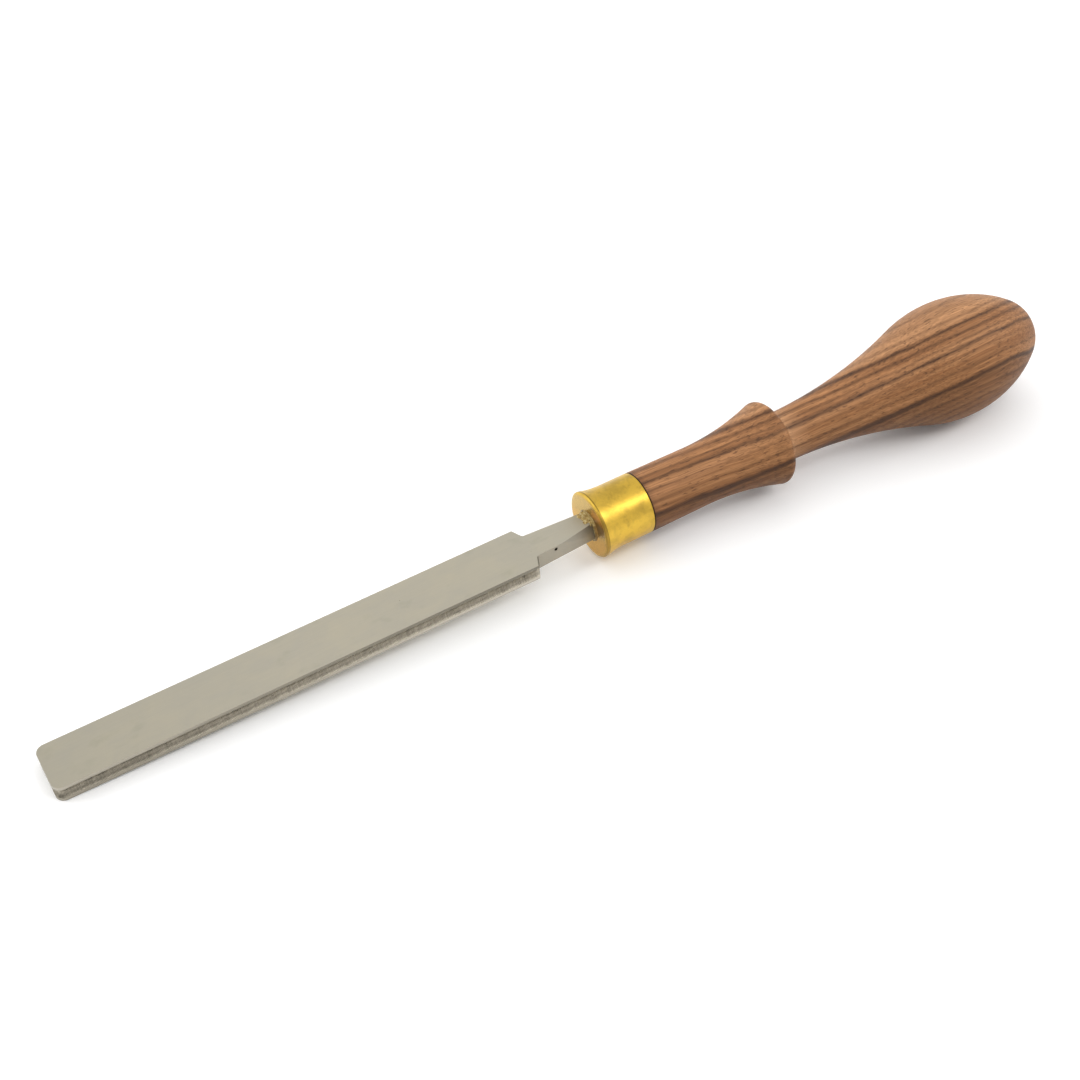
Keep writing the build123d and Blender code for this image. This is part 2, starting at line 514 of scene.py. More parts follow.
def buildRidge(side):
    # one tooth: a leaning ridge swept across the hollow at station 0
    radius = blade["grooveRadius"]
    bpy.ops.mesh.primitive_plane_add(size=seedSize)
    ridge = named("ridge")
    openMesh(ridge)
    pick(ridge, "VERT", lambda vertex: vertex.index == 3)
    bpy.ops.mesh.delete(type="VERT")
    pickAll()
    bpy.ops.mesh.edge_face_add()
    base, foot = teeth["base"], radius + teeth["sunk"]
    top = (-base * teeth["lean"], radius - teeth["height"])
    corners = ((-base / 2, foot), (base / 2, foot), top)
    mesh = bmesh.from_edit_mesh(ridge.data)
    reach = radians(teeth["reach"])
    axisY = side * (blade["width"] / 2 + cutterOffset)
    for vertex, (station, out) in zip(mesh.verts, corners):
        vertex.co = (station, axisY - side * out * cos(reach), -out * sin(reach))
    bmesh.update_edit_mesh(ridge.data)
    pickAll()
    bpy.ops.mesh.spin(steps=teeth["steps"], angle=2 * reach, center=(0, axisY, 0), axis=(side, 0, 0))
    closeMesh()
    return ridge


def buildTeeth(side, name):
    draw = random.Random(teeth["seed"] + side)
    ridge = buildRidge(side)
    bend, pitch = blade["tipCorner"], teeth["pitch"]
    corner = Vector((bend, side * (blade["width"] / 2 - bend), 0))
    copies = []
    count = int((blade["length"] - teeth["endGap"] - bend) / pitch)
    for index in range(count):
        station = bend + pitch * (index + draw.uniform(-1, 1) * teeth["jitter"])
        copies.append((Matrix.Translation((station, 0, 0)), draw.uniform(*teeth["sizes"])))
    around = pitch / (bend - blade["grooveDepth"] / 2)
    for index in range(1, int(radians(blade["grooveWrap"]) / around) + 1):
        swing = Matrix.Rotation(side * index * around, 4, "Z")
        toCorner = Matrix.Translation(corner)
        away = Matrix.Translation((0, -corner.y, 0))
        copies.append((toCorner @ swing @ away, draw.uniform(*teeth["sizes"])))
    made = []
    for place, size in copies:
        copy = ridge.copy()
        copy.data = ridge.data.copy()
        bpy.context.scene.collection.objects.link(copy)
        copy.matrix_world = place @ Matrix.Diagonal((size, 1, 1, 1))
        made.append(copy)
    choose(*made[1:], made[0])
    applyPlace()
    bpy.ops.object.join()
    piece = named(name)
    bpy.data.objects.remove(ridge)
    piece.data.materials.append(cutSteel)
    layDown(piece, None)


# turned brass ferrule
ferrule = {
    "length": 0.0141, "wall": 0.0011, "frontWall": 0.0016, "bore": 0.004,
    "barrel": 0.00785, "flange": 0.0086, "flangeWidth": 0.0007, "sweep": 0.0059,
    "rimDeep": 0.0005, "rimHigh": 0.0012, "rimBackRound": 0.00015, "edgeBreak": 0.00018,
    "rimSteps": 14, "sweepSteps": 16, "rimBackSteps": 4, "spin": 160,
}
ferruleRear = mouth + ferrule["length"]
rimBack = mouth + ferrule["flangeWidth"]


def buildFerrule():
    # a rounded rim, then a sweep down to the barrel
    barrel, flange, bore = ferrule["barrel"], ferrule["flange"], ferrule["bore"]
    inside, inner = mouth + ferrule["frontWall"], barrel - ferrule["wall"]
    sweepEnd = (rimBack + ferrule["sweep"], barrel)
    # the rim's front is a quarter of an ellipse
    deep, high, steps = ferrule["rimDeep"], ferrule["rimHigh"], ferrule["rimSteps"]
    turns = [pi / 2 * step / steps for step in range(steps + 1)]
    rim = [(mouth + deep - deep * cos(turn), flange - high + high * sin(turn)) for turn in turns]
    profile = [
        (inside, bore), (mouth, bore),
        *rim,
        *tangentArc(sweepEnd, (-1, 0), (rimBack, flange), ferrule["sweepSteps"])[::-1],
        (ferruleRear - ferrule["edgeBreak"], barrel), (ferruleRear, barrel - ferrule["edgeBreak"]),
        (ferruleRear, inner), (inside, inner), (inside, bore),
    ]
    profile = roundCorner(profile, (rimBack, flange), ferrule["rimBackRound"], ferrule["rimBackSteps"])
    piece = turned("turned_ferrule", profile, ferrule["spin"])
    piece.data.materials.append(turnedBrass)
    layDown(piece, "ferrule")


# turned wooden handle
handle = {
    "waist": 0.00768, "waistRun": 0.0162, "trumpetRun": 0.0233,
    "bead": 0.0114, "beadRound": 0.0016, "beadBack": 0.002,
    "neck": 0.00655, "neckFillet": 0.0024, "flareRun": 0.0554,
    "bulb": 0.01575, "buttRun": 0.0262, "butt": 0.0109,
    "boreSpare": 0.006, "drillCone": 0.0023, "tenonGap": 0.0003, "tenonClearance": 0.00005,
    "trumpetSteps": 24, "flareSteps": 28, "bellySteps": 24, "buttSteps": 20, "cornerSteps": 10,
    "spin": 160,
}
waistAt = ferruleRear + handle["waistRun"]
beadAt = waistAt + handle["trumpetRun"]
neckAt = beadAt + handle["beadBack"]


def buildHandle():
    bulbAt = neckAt + handle["flareRun"]
    buttAt = bulbAt + handle["buttRun"]
    boreEnd = tangEnd + handle["boreSpare"]
    tenonFace = mouth + ferrule["frontWall"] + handle["tenonGap"]
    tenon = ferrule["barrel"] - ferrule["wall"] - handle["tenonClearance"]
    bulb, butt, neck = handle["bulb"], handle["butt"], handle["neck"]
    # the belly is one arc that meets the round butt and the neck's flare smoothly
    buttCentre = handle["buttRun"] - butt
    belly = (buttCentre ** 2 + bulb ** 2 - butt ** 2) / (2 * (bulb - butt))
    swell = bulb - neck
    flare = (handle["flareRun"] ** 2 + swell ** 2) / (2 * swell) - belly
    bellyMiddle = Vector((bulbAt, bulb - belly))
    flareMiddle = Vector((neckAt, neck + flare))
    buttMiddle = Vector((buttAt - butt, 0))
    flareEnd = bellyMiddle + (flareMiddle - bellyMiddle).normalized() * belly
    bellyEnd = bellyMiddle + (buttMiddle - bellyMiddle).normalized() * belly
    bellyStart = atan2(flareEnd.y - bellyMiddle.y, flareEnd.x - bellyMiddle.x)
    bellyStop = atan2(bellyEnd.y - bellyMiddle.y, bellyEnd.x - bellyMiddle.x)
    barrel, edge = ferrule["barrel"], ferrule["edgeBreak"]
    waist, steps = (waistAt, handle["waist"]), handle["cornerSteps"]
    waistHeading = (handle["waistRun"], handle["waist"] - barrel)
    profile = [
        (boreEnd, 0), (boreEnd - handle["drillCone"], ferrule["bore"]), (tenonFace, ferrule["bore"]),
        (tenonFace, tenon), (ferruleRear, tenon),
        (ferruleRear, barrel - edge), (ferruleRear + edge, barrel),
        *tangentArc(waist, waistHeading, (beadAt, handle["bead"]), handle["trumpetSteps"]),
        *tangentArc((neckAt, neck), (1, 0), tuple(flareEnd), handle["flareSteps"]),
        *arc(bellyMiddle, belly, bellyStart, bellyStop, handle["bellySteps"])[1:],
        *arc(buttMiddle, butt, bellyStop, 0, handle["buttSteps"])[1:],
    ]
    profile = roundCorner(profile, (beadAt, handle["bead"]), handle["beadRound"], steps)
    profile = roundCorner(profile, (neckAt, neck), handle["neckFillet"], steps)
    piece = turned("turned_handle", profile, handle["spin"])
    piece.data.materials.append(oiledWood)
    layDown(piece, "handle")


# glue that stands out round the tang
glue = {
    "radius": 0.0042, "proud": 0.00012, "depth": 0.003, "sides": 48, "seed": 3,
    # along the top of the tang at the mouth: number, sizes, reach towards the tip, height
    "drops": 17, "dropSize": (0.00024, 0.00046), "dropReach": 0.0007, "dropRise": 0.00035,
    "dropShift": 0.0002, "rightSmaller": 0.85, "leftLarger": 1.25, "dropSteps": 2,
    # a thin film that ran out on the tang's upper face; its ends are shares of width and reach
    "filmSpots": 13, "filmSize": (0.0005, 0.0009), "filmReach": 0.0015, "filmThin": 0.28,
    "filmAcross": (-0.1, 0.42), "filmAlong": (0.2, 1),
    # all of it is melted together, and its surface made uneven
    "voxel": 0.0001, "melt": 0.5, "meltRounds": 3, "smoothBelow": 60,
    "cloudSize": 0.0009, "cloudDepth": 0.00022, "cloudLevel": 0.6,
}


def buildGlue():
    bpy.ops.mesh.primitive_cylinder_add(
        vertices=glue["sides"], radius=glue["radius"], depth=glue["depth"], rotation=(0, pi / 2, 0),
        location=(mouth - glue["proud"] + glue["depth"] / 2, 0, 0),
    )
    piece = named("glue_collar")
    draw = random.Random(glue["seed"])
    width, thick = tangSize(mouth)
    drops = []
    for index in range(glue["drops"]):
        across = -width / 2 + width * (index + 0.5) / glue["drops"]
        across += draw.uniform(-1, 1) * glue["dropShift"]
        size = draw.uniform(*glue["dropSize"])
        size *= glue["leftLarger"] if across > 0 else glue["rightSmaller"]
        station = mouth - draw.uniform(0, glue["dropReach"])
        place = (station, across, thick / 2 + draw.uniform(0, glue["dropRise"]))
        drops.append(addBall("drop", place, size, glue["dropSteps"]))
    for index in range(glue["filmSpots"]):
        across = draw.uniform(*glue["filmAcross"]) * width
        station = mouth - draw.uniform(*glue["filmAlong"]) * glue["filmReach"]
        place = (station, across, tangSize(station)[1] / 2)
        size = draw.uniform(*glue["filmSize"])
        drops.append(addBall("drop", place, size, glue["dropSteps"], glue["filmThin"]))
    choose(*drops, piece)
    bpy.ops.object.join()
    applyModifier(piece, "REMESH", mode="VOXEL", voxel_size=glue["voxel"])
    applyModifier(piece, "SMOOTH", factor=glue["melt"], iterations=glue["meltRounds"])
    clouds = bpy.data.textures.new("glueClouds", "CLOUDS")
    clouds.noise_scale = glue["cloudSize"]
    applyModifier(
        piece, "DISPLACE", texture=clouds, texture_coords="LOCAL",
        strength=glue["cloudDepth"], mid_level=glue["cloudLevel"],
    )
    piece.data.materials.append(curedGlue)
    layDown(piece, "tang_epoxy", glue["smoothBelow"])


# finishes
steel = {
    # warm and cool tones and roughness of the broad faces, the sides and the casting pit
    "top": ((0.490, 0.450, 0.352), (0.455, 0.425, 0.350), (0.30, 0.42)),
    "side": ((0.345, 0.315, 0.252), (0.315, 0.290, 0.238), (0.26, 0.38)),
    "pit": ((0.035, 0.03, 0.022), (0.035, 0.03, 0.022), (0.6, 0.7)),
    "cutDark": (0.285, 0.258, 0.207), "cutLight": (0.43, 0.39, 0.315), "cutRough": (0.34, 0.46),
    # patterns, each with its scale along, across and up the tool
    "clouds": (120, 190, 190), "lines": (60, 5200, 5200), "lineStrength": 0.04, "blotches": 260.0,
    "smudges": (150, 260, 260), "smudge": (0.33, 0.325, 0.235), "smudgeStrength": 0.35,
    "specks": 620.0, "speckSize": (0.05, 0.11), "speck": (0.10, 0.085, 0.06), "speckStrength": 0.6,
    "grimeAndShade": (420, 700, 700), "cutLines": (3600, 60, 60), "cutLineStrength": 0.3,
    "cutSpecks": (1500, 1900, 1900),
    # the lips are made paler: the lower ones towards the tang, and the upper ones at the tip, where it
    # is a painted highlight
    "paleLip": (0.49, 0.455, 0.385), "lowerLip": (-0.0012, -0.0015), "lowerAlong": (0.035, 0.090),
    "upperLip": (0.0013, 0.0016), "upperAlong": (0.018, 0.045), "upperHighlight": 0.6,
    # painted shade lies in the lower half of the hollows, most of it near the tip, and on the upper
    # lips
    "dirtAndShade": (0.10, 0.09, 0.066), "shadeHeight": (-0.0008, 0.0004),
    "shadeAlong": (0.015, 0.070), "shadeAmount": (0.52, 0.16),
    "lipShade": (0.10, 0.60), "lipShadeAlong": (0.020, 0.100), "bladeEnd": (0.1204, 0.1212),
    # the broad faces carry painted shade at the tip, and a line of painted shade along the edge of the
    # shoulder
    "tipShade": (0.33, 0.31, 0.25), "tipShadeTo": 0.06, "tipShadeStrength": 0.32,
    "shoulderShade": 0.75, "shoulderShadeEdge": (-0.00042, -0.00022), "shoulderShadeSide": (-0.0037, -0.0042),
    # the tang is hazed with glue beside the ferrule
    "hazeFrom": (0.127, 0.134), "hazeRough": 0.55,
}


def paleLips(finish, colour, parts):
    # the narrow sides: paler stretches of their lower lips, a painted highlight on their upper lips at
    # the tip, and painted shade along their upper lips
    onBlade = spread(finish, parts["X"], *steel["bladeEnd"], 1, 0)
    lowerLip = spread(finish, parts["Z"], *steel["lowerLip"], 0, 1)
    lower = times(finish, lowerLip, spread(finish, parts["X"], *steel["lowerAlong"], 0, 1))
    lower = times(finish, lower, onBlade)
    upperLip = spread(finish, parts["Z"], *steel["upperLip"], 0, 1)
    upper = spread(finish, parts["X"], *steel["upperAlong"], steel["upperHighlight"], 0)
    upper = times(finish, upperLip, upper)
    colour = mixed(finish, worked(finish, "MAXIMUM", lower, upper), colour, steel["paleLip"])
    # painted shade along the upper lips, growing away from the tip
    dirtAndShade = spread(finish, parts["X"], *steel["lipShadeAlong"], *steel["lipShade"])
    dirtAndShade = times(finish, times(finish, dirtAndShade, onBlade), upperLip)
    return mixed(finish, dirtAndShade, colour, steel["dirtAndShade"])


def shadedEnds(finish, colour, parts):
    # the broad faces: painted shade at the tip, and painted shade past the slanting line of the
    # shoulder
    dull = spread(finish, parts["X"], 0, steel["tipShadeTo"], steel["tipShadeStrength"], 0)
    colour = mixed(finish, dull, colour, steel["tipShade"])
    slant = blade["lean"] / ((blade["width"] - blade["tangRoot"]) / 2)
    line = times(finish, worked(finish, "ADD", parts["Y"], blade["width"] / 2), slant)
    past = worked(finish, "SUBTRACT", worked(finish, "SUBTRACT", parts["X"], blade["length"]), line)
    shoulderShade = spread(finish, past, *steel["shoulderShadeEdge"], 0, steel["shoulderShade"])
    shoulderShade = times(finish, shoulderShade, spread(finish, parts["Y"], *steel["shoulderShadeSide"], 0, 1))
    return mixed(finish, shoulderShade, colour, steel["dirtAndShade"])


def steelFinish(name, warm, cool, roughness, withPaleLips=False):
    # mottled by handling, with faint grinding lines and a few dark specks
    finish = newFinish(name)
    place = toolPlace(finish)
    clouds = drawnOut(finish, place, steel["clouds"], 5, 0.6, 0.4)
    colour = ramp(finish, clouds, (0.3, cool), (0.7, warm))
    smudges = ramp(finish, drawnOut(finish, place, steel["smudges"], 3, 0.5), (0.6, 0), (0.78, 1))
    colour = mixed(finish, times(finish, smudges, steel["smudgeStrength"]), colour, steel["smudge"])
    lines = drawnOut(finish, place, steel["lines"], 3, 0.6)
    ground = ramp(finish, lines, (0.3, 0.25), (0.7, 0.75))
    colour = mixed(finish, steel["lineStrength"], colour, ground, "OVERLAY")
    specks = add(finish, "TexVoronoi", {"Vector": place, "Scale": steel["specks"]})
    close = spread(finish, specks.outputs["Distance"], *steel["speckSize"], 1, 0)
    few = ramp(finish, specks.outputs["Color"], (0.86, 0), (0.9, 1))
    speck = worked(finish, "MULTIPLY", close, few, True)
    colour = mixed(finish, times(finish, speck, steel["speckStrength"]), colour, steel["speck"])
    blotches = noise(finish, place, steel["blotches"], 6, 0.65)
    parts = partsOf(finish, place)
    normal = bumped(finish, lines, 0.12, 0.00002)
    normal = bumped(finish, blotches, 0.2, 0.00005, normal)
    if withPaleLips:
        colour = paleLips(finish, colour, parts)
    else:
        colour = shadedEnds(finish, colour, parts)
    rough = spread(finish, blotches, *noiseSpan, *roughness)
    byMouth = spread(finish, parts["X"], *steel["hazeFrom"], 0, 1)
    rough = blended(finish, byMouth, rough, steel["hazeRough"])
    dress(finish, colour=colour, metallic=1.0, roughness=rough, normal=normal)
    return finish


def cutFinish():
    # the hollow edges keep a little dirt between the teeth, and carry painted shade in their lower half
    finish = newFinish("cut steel")
    place = toolPlace(finish)
    grimeAndShade = drawnOut(finish, place, steel["grimeAndShade"], 5, 0.6)
    colour = ramp(finish, grimeAndShade, (0.28, steel["cutDark"]), (0.6, steel["cutLight"]))
    lines = drawnOut(finish, place, steel["cutLines"], 2, 0.5)
    filed = ramp(finish, lines, (0.3, 0.2), (0.7, 0.8))
    colour = mixed(finish, steel["cutLineStrength"], colour, filed, "OVERLAY")
    specks = ramp(finish, drawnOut(finish, place, steel["cutSpecks"], 2, 0.5), (0.66, 0), (0.72, 1))
    colour = mixed(finish, times(finish, specks, steel["speckStrength"]), colour, steel["speck"])
    parts = partsOf(finish, place)
    # painted shade: darker in the lower half of the hollow, most of it near the tip
    dirtAndShade = spread(finish, parts["X"], *steel["shadeAlong"], *steel["shadeAmount"])
    dirtAndShade = times(finish, spread(finish, parts["Z"], *steel["shadeHeight"], 1, 0), dirtAndShade)
    colour = mixed(finish, dirtAndShade, colour, steel["dirtAndShade"])
    rough = spread(finish, grimeAndShade, *noiseSpan, *steel["cutRough"])
    normal = bumped(finish, lines, 0.3, 0.00004)
    dress(finish, colour=colour, metallic=1.0, roughness=rough, normal=normal)
    return finish


brass = {
    "bright": (0.64, 0.415, 0.060), "dull": (0.50, 0.325, 0.052), "roughness": (0.30, 0.40),
    "clouds": 330.0, "rings": (3200, 3200, 1),
    "stainAndShade": (0.26, 0.15, 0.035), "stains": 520.0, "stainStrength": 0.35,
    # the flat front is paler, and redder towards its lower part, where this is a painted reflection
    "face": (0.47, 0.31, 0.072), "faceLow": (0.59, 0.335, 0.058), "lowAt": (0.0020, -0.0010),
    "faceEnds": (0.00001, 0.00014), "faceStrength": 0.85, "faceRoughness": 0.26,
    # a dark line round the tool, behind the rim: painted shade in the crease, with some grime
    "grimeAndShade": (0.16, 0.095, 0.022), "creaseStrength": 0.75,
    "creaseAt": 0.00065, "creaseReach": (0.0002 / 3, 0.0002),
    # a painted reflection of the tang on the face, to the right of the tang and above it
    "reflectionHigh": (0.70, 0.27, 0.015), "reflectionLow": (0.15, 0.065, 0.004),
    "reflectionHeight": (0.0062, 0.0038), "reflectionMiddle": (-0.0042, 0.0036), "reflectionReach": (0.0023, 0.0042),
    "reflectionStrength": 0.92, "reflectionWander": (-0.0008, 0.0008), "reflectionCover": 0.8,
    # the rim carries painted shade on the right-hand side
    "rimShade": 0.75, "rimShadeFrom": (-0.0035, -0.0062), "rimEnds": (0.0004, 0.0006),
}


def beforeStation(finish, station, ends):
    # 1 in front of a line round the ferrule and 0 behind it, counted from its mouth
    return spread(finish, station, mouth + ends[0], mouth + ends[1], 1, 0)


def brassFinish():
    # fine turning lines, cloudy tarnish, a plainer face with painted reflections, painted shade on the
    # rim's right-hand side, and a dark line of painted shade and grime behind the rim
    finish = newFinish("turned brass")
    place = toolPlace(finish)
    parts = partsOf(finish, place)
    clouds = noise(finish, place, brass["clouds"], 5, 0.6, 0.5)
    colour = ramp(finish, clouds, (0.36, brass["dull"]), (0.56, brass["bright"]))
    onFace = beforeStation(finish, parts["X"], brass["faceEnds"])
    # painted reflection: redder towards the lower part of the face
    lowOnFace = spread(finish, parts["Z"], *brass["lowAt"], 0, 1)
    faceColour = mixed(finish, lowOnFace, brass["face"], brass["faceLow"])
    colour = mixed(finish, times(finish, onFace, brass["faceStrength"]), colour, faceColour)
    # painted shade on the rim's right-hand side
    onRim = beforeStation(finish, parts["X"], brass["rimEnds"])
    rimShade = spread(finish, parts["Y"], *brass["rimShadeFrom"], 0, brass["rimShade"])
    rimShade = times(finish, rimShade, onRim)
    rimShade = times(finish, rimShade, worked(finish, "SUBTRACT", 1.0, onFace))
    colour = mixed(finish, rimShade, colour, brass["stainAndShade"])
    stains = ramp(finish, noise(finish, place, brass["stains"], 6, 0.7), (0.52, 0), (0.7, 1))
    colour = mixed(finish, times(finish, stains, brass["stainStrength"]), colour, brass["stainAndShade"])
    # the painted reflection is a round patch with a wandering edge
    flat = add(finish, "CombineXYZ", {"Y": parts["Y"], "Z": parts["Z"]}).outputs["Vector"]
    reflectionAt = (0, *brass["reflectionMiddle"])
    away = add(finish, "VectorMath", {0: flat, 1: reflectionAt}, operation="DISTANCE").outputs["Value"]
    wander = spread(finish, clouds, *noiseSpan, *brass["reflectionWander"])
    away = worked(finish, "ADD", away, wander)
    paintedReflection = times(finish, spread(finish, away, *brass["reflectionReach"], brass["reflectionStrength"], 0), onFace)
    low = spread(finish, parts["Z"], *brass["reflectionHeight"], 0, 1)
    colour = mixed(finish, paintedReflection, colour, mixed(finish, low, brass["reflectionHigh"], brass["reflectionLow"]))
    # painted shade in the crease behind the rim, with some grime
    offLine = worked(finish, "SUBTRACT", parts["X"], mouth + brass["creaseAt"])
    offLine = worked(finish, "ABSOLUTE", offLine)
    inLine = spread(finish, offLine, *brass["creaseReach"], brass["creaseStrength"], 0)
    colour = mixed(finish, inLine, colour, brass["grimeAndShade"])
    # turning lines follow the station and the distance from the tool's axis
    squares = [worked(finish, "POWER", parts[axis], 2.0) for axis in ("Y", "Z")]
    radius = worked(finish, "SQRT", worked(finish, "ADD", *squares))
    turning = add(finish, "CombineXYZ", {"X": parts["X"], "Y": radius}).outputs["Vector"]
    rings = drawnOut(finish, turning, brass["rings"], 3, 0.6)
    rough = spread(finish, clouds, *noiseSpan, *brass["roughness"])
    rough = blended(finish, onFace, rough, brass["faceRoughness"])
    normal = bumped(finish, rings, 0.3, 0.00002)
    normal = bumped(finish, clouds, 0.15, 0.0002, normal)
    metal = worked(finish, "SUBTRACT", 1.0, times(finish, paintedReflection, brass["reflectionCover"]))
    dress(finish, colour=colour, metallic=metal, roughness=rough, normal=normal)
    return finish


wood = {
    "light": (0.402, 0.188, 0.077), "mid": (0.266, 0.114, 0.043), "dark": (0.060, 0.025, 0.011),
    "pale": (0.57, 0.31, 0.155), "pore": (0.045, 0.019, 0.010), "joint": (0.02, 0.011, 0.007),
    "roughness": (0.58, 0.48), "specular": 0.22,
    # patterns, each with its scale along, across and through the growth layers
    "bands": (7, 60, 620), "fibres": (55, 2200, 3600), "fibre": 0.45,
    "holes": (420, 3000, 3800), "pores": (0.645, 0.70), "poresByLines": 0.12, "poreStrength": 0.55,
    # how far the layers sway and waver
    "sway": (14, 40, 40), "swayEnds": (-0.0007, 0.0007),
    "waver": (60, 260, 260), "waverEnds": (-0.0005, 0.0005),
    # behind the bead the wood is painted paler, as painted light, from its edge to here
    "neckLitFrom": 0.0004, "neckLitTo": 0.0065, "neckLit": 0.70,
    # beyond these layers the wood turns deeper on one side and paler on the other, partly its own tone,
    # partly painted shade below and painted light above
    "deepBelow": (-0.0074, -0.0064), "deepness": 0.28, "paleAbove": (0.0070, 0.0086), "paleness": 0.38,
    # dirt against the ferrule and the dark joint itself, as reaches and strengths
    "dirtReach": 0.0018, "dirtAndShade": 0.35, "jointReach": (0.0001, 0.0003), "jointStrength": 0.9,
    # the growth layers are crossed at this angle above the left-hand side
    "acrossLayers": 40,
    # the layers lean by frontLean where the handle starts and lie straight from frontEnd on
    "frontStart": 0.152, "frontEnd": 0.188, "frontLean": 0.0023,
    # dark growth lines: place across the layers, half width, strength
    "growthLines": (
        (-0.0139, 0.0004, 0.55), (-0.0124, 0.0005, 0.60), (-0.0111, 0.0004, 0.45),
        (-0.0098, 0.0006, 0.60), (-0.0080, 0.0009, 0.35), (-0.0068, 0.0009, 1.45),
        (-0.0039, 0.0007, 0.50), (-0.0009, 0.0006, 0.30), (0.0013, 0.0009, 0.95),
        (0.0030, 0.0005, 0.55), (0.0049, 0.0008, 0.65), (0.0071, 0.0009, 1.00),
        (0.0091, 0.0006, 0.50), (0.0111, 0.0007, 0.35), (0.0136, 0.0006, 0.50),
    ),
    # the lines fade and gather strength in patches
    "patches": (45, 200, 900), "patchSpan": (0.32, 0.58), "patchStrength": (0.62, 1.1),
    "lineStrength": 0.88,
}


def layersOf(finish, place, station):
    # a place in the log, with z running through its swaying growth layers
    crossing = (radians(90 - wood["acrossLayers"]), 0, 0)
    crossed = add(finish, "Mapping", {"Vector": place, "Rotation": crossing}).outputs["Vector"]
    sway = drawnOut(finish, crossed, wood["sway"], 2, 0.5)
    sway = spread(finish, sway, 0, 1, *wood["swayEnds"])
    waver = drawnOut(finish, crossed, wood["waver"], 3, 0.5, offset=(3, 1, 2))
    waver = spread(finish, waver, 0, 1, *wood["waverEnds"])
    lean = spread(finish, station, wood["frontStart"], wood["frontEnd"], -wood["frontLean"], 0)
    shift = worked(finish, "ADD", worked(finish, "ADD", sway, waver), lean)
    shift = add(finish, "CombineXYZ", {"Z": shift}).outputs["Vector"]
    return add(finish, "VectorMath", {0: crossed, 1: shift}, operation="ADD").outputs["Vector"]


def woodFinish():
    # plain-sawn figure: dark growth lines, straight fibres and short open pores
    finish = newFinish("oiled wood")
    place = toolPlace(finish)
    station = partsOf(finish, place)["X"]
    grain = layersOf(finish, place, station)
    across = partsOf(finish, grain)["Z"]
    darkness = 0.0
    for layer, halfWidth, strength in wood["growthLines"]:
        off = worked(finish, "ABSOLUTE", worked(finish, "SUBTRACT", across, layer))
        darkness = worked(finish, "MAXIMUM", darkness, spread(finish, off, 0, halfWidth, strength, 0))
    patches = drawnOut(finish, grain, wood["patches"], 3, 0.6, offset=(1, 5, 2))
    patches = spread(finish, patches, *wood["patchSpan"], *wood["patchStrength"])
    darkness = worked(finish, "MULTIPLY", darkness, patches, True)
    bands = drawnOut(finish, grain, wood["bands"], 4, 0.6)
    colour = ramp(finish, bands, (0.36, wood["mid"]), (0.60, wood["light"]))
    # partly the wood's own tone, partly painted shade below and painted light above
    deep = spread(finish, across, *wood["deepBelow"], wood["deepness"], 0)
    colour = mixed(finish, deep, colour, wood["dark"])
    pale = spread(finish, across, *wood["paleAbove"], 0, wood["paleness"])
    colour = mixed(finish, pale, colour, wood["pale"])
    fibre = drawnOut(finish, grain, wood["fibres"], 3, 0.6)
    # painted light on the neck behind the bead
    behindBead = times(
        finish, spread(finish, station, beadAt + wood["neckLitFrom"], beadAt + 2 * wood["neckLitFrom"], 0, 1),
        spread(finish, station, neckAt, neckAt + wood["neckLitTo"], wood["neckLit"], 0),
    )
    colour = mixed(finish, behindBead, colour, wood["pale"])
    streaks = ramp(finish, fibre, (0.3, 0.15), (0.7, 0.85))
    colour = mixed(finish, wood["fibre"], colour, streaks, "OVERLAY")
    colour = mixed(finish, times(finish, darkness, wood["lineStrength"]), colour, wood["dark"])
    holes = drawnOut(finish, grain, wood["holes"], 1, 0.4)
    crowded = worked(finish, "ADD", holes, times(finish, darkness, wood["poresByLines"]))
    pore = ramp(finish, crowded, (wood["pores"][0], 0.0), (wood["pores"][1], 1.0))
    colour = mixed(finish, times(finish, pore, wood["poreStrength"]), colour, wood["pore"])
    # dirt and polish gather against the ferrule
    dirtAndShade = spread(finish, station, ferruleRear, ferruleRear + wood["dirtReach"], wood["dirtAndShade"], 0)
    colour = mixed(finish, dirtAndShade, colour, wood["dark"])
    jointEnds = [ferruleRear + reach for reach in wood["jointReach"]]
    joint = spread(finish, station, *jointEnds, wood["jointStrength"], 0)
    colour = mixed(finish, joint, colour, wood["joint"])
    height = worked(finish, "SUBTRACT", times(finish, fibre, 0.3), pore)
    rough = spread(finish, fibre, *noiseSpan, *wood["roughness"])
    normal = bumped(finish, height, 0.35, 0.00006)
    dress(finish, colour=colour, roughness=rough, normal=normal, specular=wood["specular"])
    return finish


amber = {
    "dark": (0.17, 0.10, 0.03), "mid": (0.42, 0.29, 0.095), "pale": (0.60, 0.51, 0.26),
    "clouds": 1300.0, "roughness": (0.25, 0.5), "specular": 0.3,
    # painted shadow in the gap beside the tang's right-hand side
    "gapShade": (0.30, 0.14, 0.022), "gapShadeFrom": (-0.0026, -0.0034), "gapShadeStrength": 0.7,
}


def glueFinish():
    # cloudy amber, with painted shadow on one side
    finish = newFinish("cured glue")
    place = toolPlace(finish)
    clouds = noise(finish, place, amber["clouds"], 4, 0.6)
    colour = ramp(finish, clouds, (0.34, amber["dark"]), (0.5, amber["mid"]), (0.66, amber["pale"]))
    across = partsOf(finish, place)["Y"]
    # painted shadow in the gap beside the tang
    gapShade = spread(finish, across, *amber["gapShadeFrom"], 0, amber["gapShadeStrength"])
    colour = mixed(finish, gapShade, colour, amber["gapShade"])
    rough = spread(finish, clouds, *noiseSpan, *amber["roughness"])
    normal = bumped(finish, clouds, 0.4, 0.0001)
    dress(finish, colour=colour, roughness=rough, normal=normal, specular=amber["specular"])
    return finish


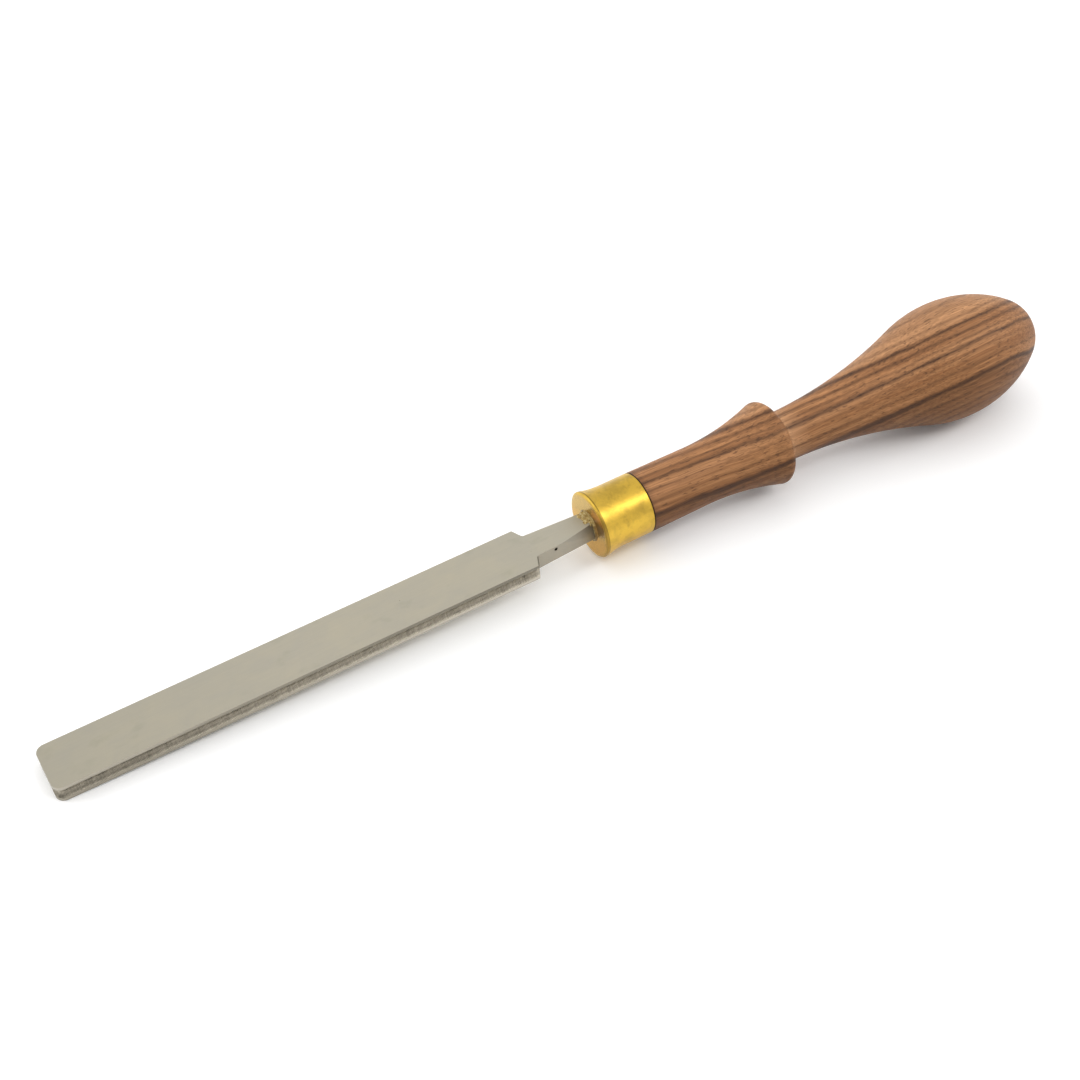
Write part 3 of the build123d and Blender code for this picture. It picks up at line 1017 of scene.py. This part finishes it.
groundSteel = steelFinish("ground steel", *steel["top"])
sideSteel = steelFinish("side steel", *steel["side"], withPaleLips=True)
pitSteel = steelFinish("pit steel", *steel["pit"])
cutSteel = cutFinish()
turnedBrass = brassFinish()
oiledWood = woodFinish()
curedGlue = glueFinish()
print("stage: finishes made")

buildBlade()
buildTeeth(-1, "edge_teeth_right")
buildTeeth(1, "edge_teeth_left")
buildFerrule()
buildHandle()
buildGlue()

# floor, light and camera
studio = {
    # the floor's tone as it lights the tool, as metal mirrors it and as the camera sees it
    "floorSize": 6.0, "floorColour": 0.45, "floorMirrored": 1.12, "floorSeen": 1.05,
    # the room is lightest towards this direction, and even in what the metal mirrors
    "keyTowards": (-0.22, 0.45, 0.86), "keyRange": (0.38, 0.97), "keyLight": (0.52, 1.36),
    "backdrop": 1.0,
    # save for the dark side behind the camera: its direction, edges as cosines, and level
    "darkTowards": (-0.40, -0.75, 0.50), "darkRange": (0.79, 0.95), "darkLevel": 0.25,
    # each softbox: direction from the tool, distance, size and power
    "softboxes": {
        "top_softbox": ((0.33, -0.46, 0.82), 1.4, 0.5, 2.9),
        "rear_softbox": ((0.78, -0.28, 0.56), 1.4, 0.45, 3.2),
        "front_softbox": ((-0.23, -0.44, 0.86), 1.4, 0.35, 1.3),
        "left_softbox": ((-0.75, 0.52, 0.41), 1.5, 0.7, 4.0),
    },
}


def seenDirectly(finish):
    # camera, mirror and glass rays, as against the rays that light other surfaces
    path = add(finish, "LightPath").outputs
    byGloss = worked(finish, "MAXIMUM", path["Is Glossy Ray"], path["Is Transmission Ray"])
    return worked(finish, "MAXIMUM", path["Is Camera Ray"], byGloss)


def buildFloor():
    bpy.ops.mesh.primitive_plane_add(size=studio["floorSize"])
    floor = named("floor")
    finish = newFinish("pale floor")
    tree = finish.node_tree
    tree.nodes.remove(tree.nodes["Principled BSDF"])
    shade = blended(finish, seenDirectly(finish), studio["floorColour"], studio["floorMirrored"])
    byCamera = add(finish, "LightPath").outputs["Is Camera Ray"]
    shade = blended(finish, byCamera, shade, studio["floorSeen"])
    diffuse = add(finish, "BsdfDiffuse", {"Color": shade})
    tree.links.new(diffuse.outputs[0], tree.nodes["Material Output"].inputs["Surface"])
    floor.data.materials.append(finish)


def facing(world, direction):
    # how nearly a ray looks that way, from -1 to 1
    return add(world, "VectorMath", {
        0: add(world, "TexCoord").outputs["Generated"], 1: Vector(direction).normalized(),
    }, operation="DOT_PRODUCT").outputs["Value"]


def buildLight():
    # a plain pale room, with small softboxes overhead and another low on the left
    world = bpy.data.worlds.new("studio")
    bpy.context.scene.world = world
    world.use_nodes = True
    room = spread(world, facing(world, studio["keyTowards"]), *studio["keyRange"], *studio["keyLight"])
    dark = spread(world, facing(world, studio["darkTowards"]), *studio["darkRange"], 0, 1)
    mirrored = times(world, dark, add(world, "LightPath").outputs["Is Glossy Ray"])
    seen = spread(world, mirrored, 0, 1, studio["backdrop"], studio["darkLevel"])
    strength = blended(world, seenDirectly(world), room, seen)
    background = world.node_tree.nodes["Background"]
    background.inputs["Color"].default_value = (1, 1, 1, 1)  # white
    world.node_tree.links.new(strength, background.inputs["Strength"])
    for name, (direction, distance, size, power) in studio["softboxes"].items():
        towards = Vector(direction).normalized()
        bpy.ops.object.light_add(type="AREA", location=towards * distance)
        box = bpy.context.object
        box.name = name
        box.data.shape = "DISK"
        box.data.size = size
        box.data.energy = power
        box.rotation_euler = towards.to_track_quat("Z", "Y").to_euler()
    print("stage: studio")


view = {
    "place": (-0.16195, -0.25058, 0.29762), "look": (0.36385, 0.61390, -0.70053),
    "lens": 57.17, "sensor": 36, "nearest": 0.01,  # millimetres, millimetres, metres
}


def buildCamera():
    bpy.ops.object.camera_add(location=view["place"])
    camera = bpy.context.object
    camera.name = "camera"
    camera.rotation_euler = Vector(view["look"]).to_track_quat("-Z", "Y").to_euler()
    camera.data.lens = view["lens"]
    camera.data.sensor_width = view["sensor"]
    camera.data.clip_start = view["nearest"]
    bpy.context.scene.camera = camera
    clearSelection()


buildFloor()
buildLight()
buildCamera()
bpy.context.scene.view_settings.view_transform = "Standard"
